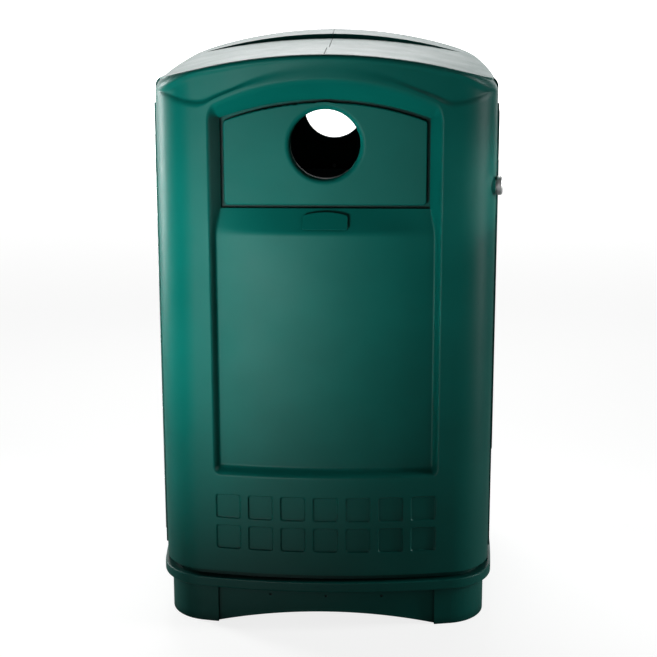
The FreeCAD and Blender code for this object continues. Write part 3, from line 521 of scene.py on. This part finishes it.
door_shell = end_moulding("door_moulding", 108.0, -206.6, True)
door_shell.data.materials.append(green)
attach(door_shell, "door")
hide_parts("front_door")
back_moulding = end_moulding("back_moulding", 96.0, -204.4, False)
back_moulding.data.transform(Matrix.Rotation(math.pi, 4, "Z"))
back_moulding.data.materials.append(green)
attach(back_moulding, "cabinet")
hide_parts("back_shell")


# ---------------------------------------------------------------- stage, lights, camera

def sheet(name, corners, material):
    mesh = bpy.data.meshes.new(name)
    mesh.from_pydata(corners, [], [tuple(range(len(corners)))])
    made = bpy.data.objects.new(name, mesh)
    scene.collection.objects.link(made)
    mesh.materials.append(material)


def glow(name, strength):
    s = Shader(name)
    s.bsdf.inputs["Base Color"].default_value = (0, 0, 0, 1)
    s.bsdf.inputs["Emission Color"].default_value = (1, 1, 1, 1)
    s.bsdf.inputs["Emission Strength"].default_value = strength
    s.bsdf.inputs["Roughness"].default_value = 1.0
    return s.material


def paper(name):
    """Pale studio floor; it shows a little brighter than it lights the object."""
    s = Shader(name)
    seen = s.node("ShaderNodeLightPath").outputs["Is Camera Ray"]
    s.bsdf.inputs["Emission Color"].default_value = (1, 1, 1, 1)
    s.link(s.remap(seen, 0, 1, 0.0, 0.82), s.bsdf.inputs["Emission Strength"])
    base = s.mix(s.noise(3.0, 3.0), rgb(146, 147, 146), rgb(150, 151, 150))
    return s.set(base=base, rough=0.9, specular=0.1)


def area(name, place, target, width, height, watts, spread):
    light = bpy.data.lights.new(name, "AREA")
    light.shape = "RECTANGLE"
    light.size, light.size_y, light.energy = width, height, watts
    light.spread = math.radians(spread)
    made = bpy.data.objects.new(name, light)
    made.location = place
    made.rotation_euler = (Vector(target) - Vector(place)).to_track_quat("-Z", "Y").to_euler()
    scene.collection.objects.link(made)
    return made


FLOOR = 7.0
BACK_X, BACK_Y, BACK_Z = 4.4, 5.2, 3.4
sheet("floor", [(-FLOOR, -FLOOR, 0), (FLOOR, -FLOOR, 0), (FLOOR, FLOOR, 0), (-FLOOR, FLOOR, 0)],
      paper("pale_floor"))
sheet("backdrop", [(-BACK_X, BACK_Y, 0.0), (BACK_X, BACK_Y, 0.0), (BACK_X, BACK_Y, BACK_Z),
                   (-BACK_X, BACK_Y, BACK_Z)], glow("backdrop_glow", 2.2))

world = bpy.data.worlds.new("studio")
world.use_nodes = True
sky = world.node_tree.nodes["Background"]
seen = world.node_tree.nodes.new("ShaderNodeLightPath")
bright = world.node_tree.nodes.new("ShaderNodeMapRange")
bright.inputs["To Min"].default_value = 0.05
bright.inputs["To Max"].default_value = 1.0
world.node_tree.links.new(seen.outputs["Is Camera Ray"], bright.inputs["Value"])
world.node_tree.links.new(bright.outputs["Result"], sky.inputs["Strength"])
sky.inputs["Color"].default_value = (1.0, 1.0, 1.0, 1.0)
scene.world = world
scene.view_settings.view_transform = "Standard"

key = area("key", (-1.05, -1.40, 0.06), (-0.34, -0.28, 0.70), 0.45, 0.35, 6.6, spread=50)
key.visible_glossy = False
sheen = area("sheen", (-0.95, -2.75, 0.30), (-0.30, -0.28, 0.70), 0.6, 0.6, 1.5, spread=46)
sheen.visible_diffuse = False
area("fill", (-0.7, -2.3, 0.10), (0.0, -0.28, 0.35), 0.9, 0.4, 0.8, spread=70)
area("left_strip", (-1.7, 0.55, 0.95), (-0.3, -0.20, 0.75), 0.35, 1.2, 7.0, spread=80)
area("rim", (1.7, -0.30, 1.0), (0.28, -0.20, 0.6), 0.3, 1.8, 4.5, spread=80)
area("lock_spot", (1.35, -0.80, 1.10), (0.325, -0.228, 0.83), 0.15, 0.15, 0.06, spread=7)
area("roof", (-0.3, 2.3, 2.6), (0.0, 0.0, 1.05), 1.8, 0.8, 17, spread=100)


def make_camera():
    """Camera at the fitted viewing angle, as a rotation matrix from yaw, pitch and roll."""
    yaw, pitch, roll = 0.0355, 0.2225, -0.0023
    focal, rise = 1448.1, 78.5
    side = 657.0
    data = bpy.data.cameras.new("camera")
    data.sensor_width = 36.0
    data.lens = focal / side * data.sensor_width
    data.shift_y = -rise / side
    ahead = Vector((-math.sin(yaw) * math.cos(pitch), math.cos(yaw) * math.cos(pitch), -math.sin(pitch)))
    right = Vector((math.cos(yaw), math.sin(yaw), 0.0))
    up = right.cross(ahead)
    r = right * math.cos(roll) + up * math.sin(roll)
    u = -right * math.sin(roll) + up * math.cos(roll)
    made = bpy.data.objects.new("camera", data)
    turned = Matrix((r, u, -ahead)).transposed().to_4x4()
    made.matrix_world = Matrix.Translation((0.09525, -2.79442, 1.29002)) @ turned
    scene.collection.objects.link(made)
    scene.camera = made


make_camera()
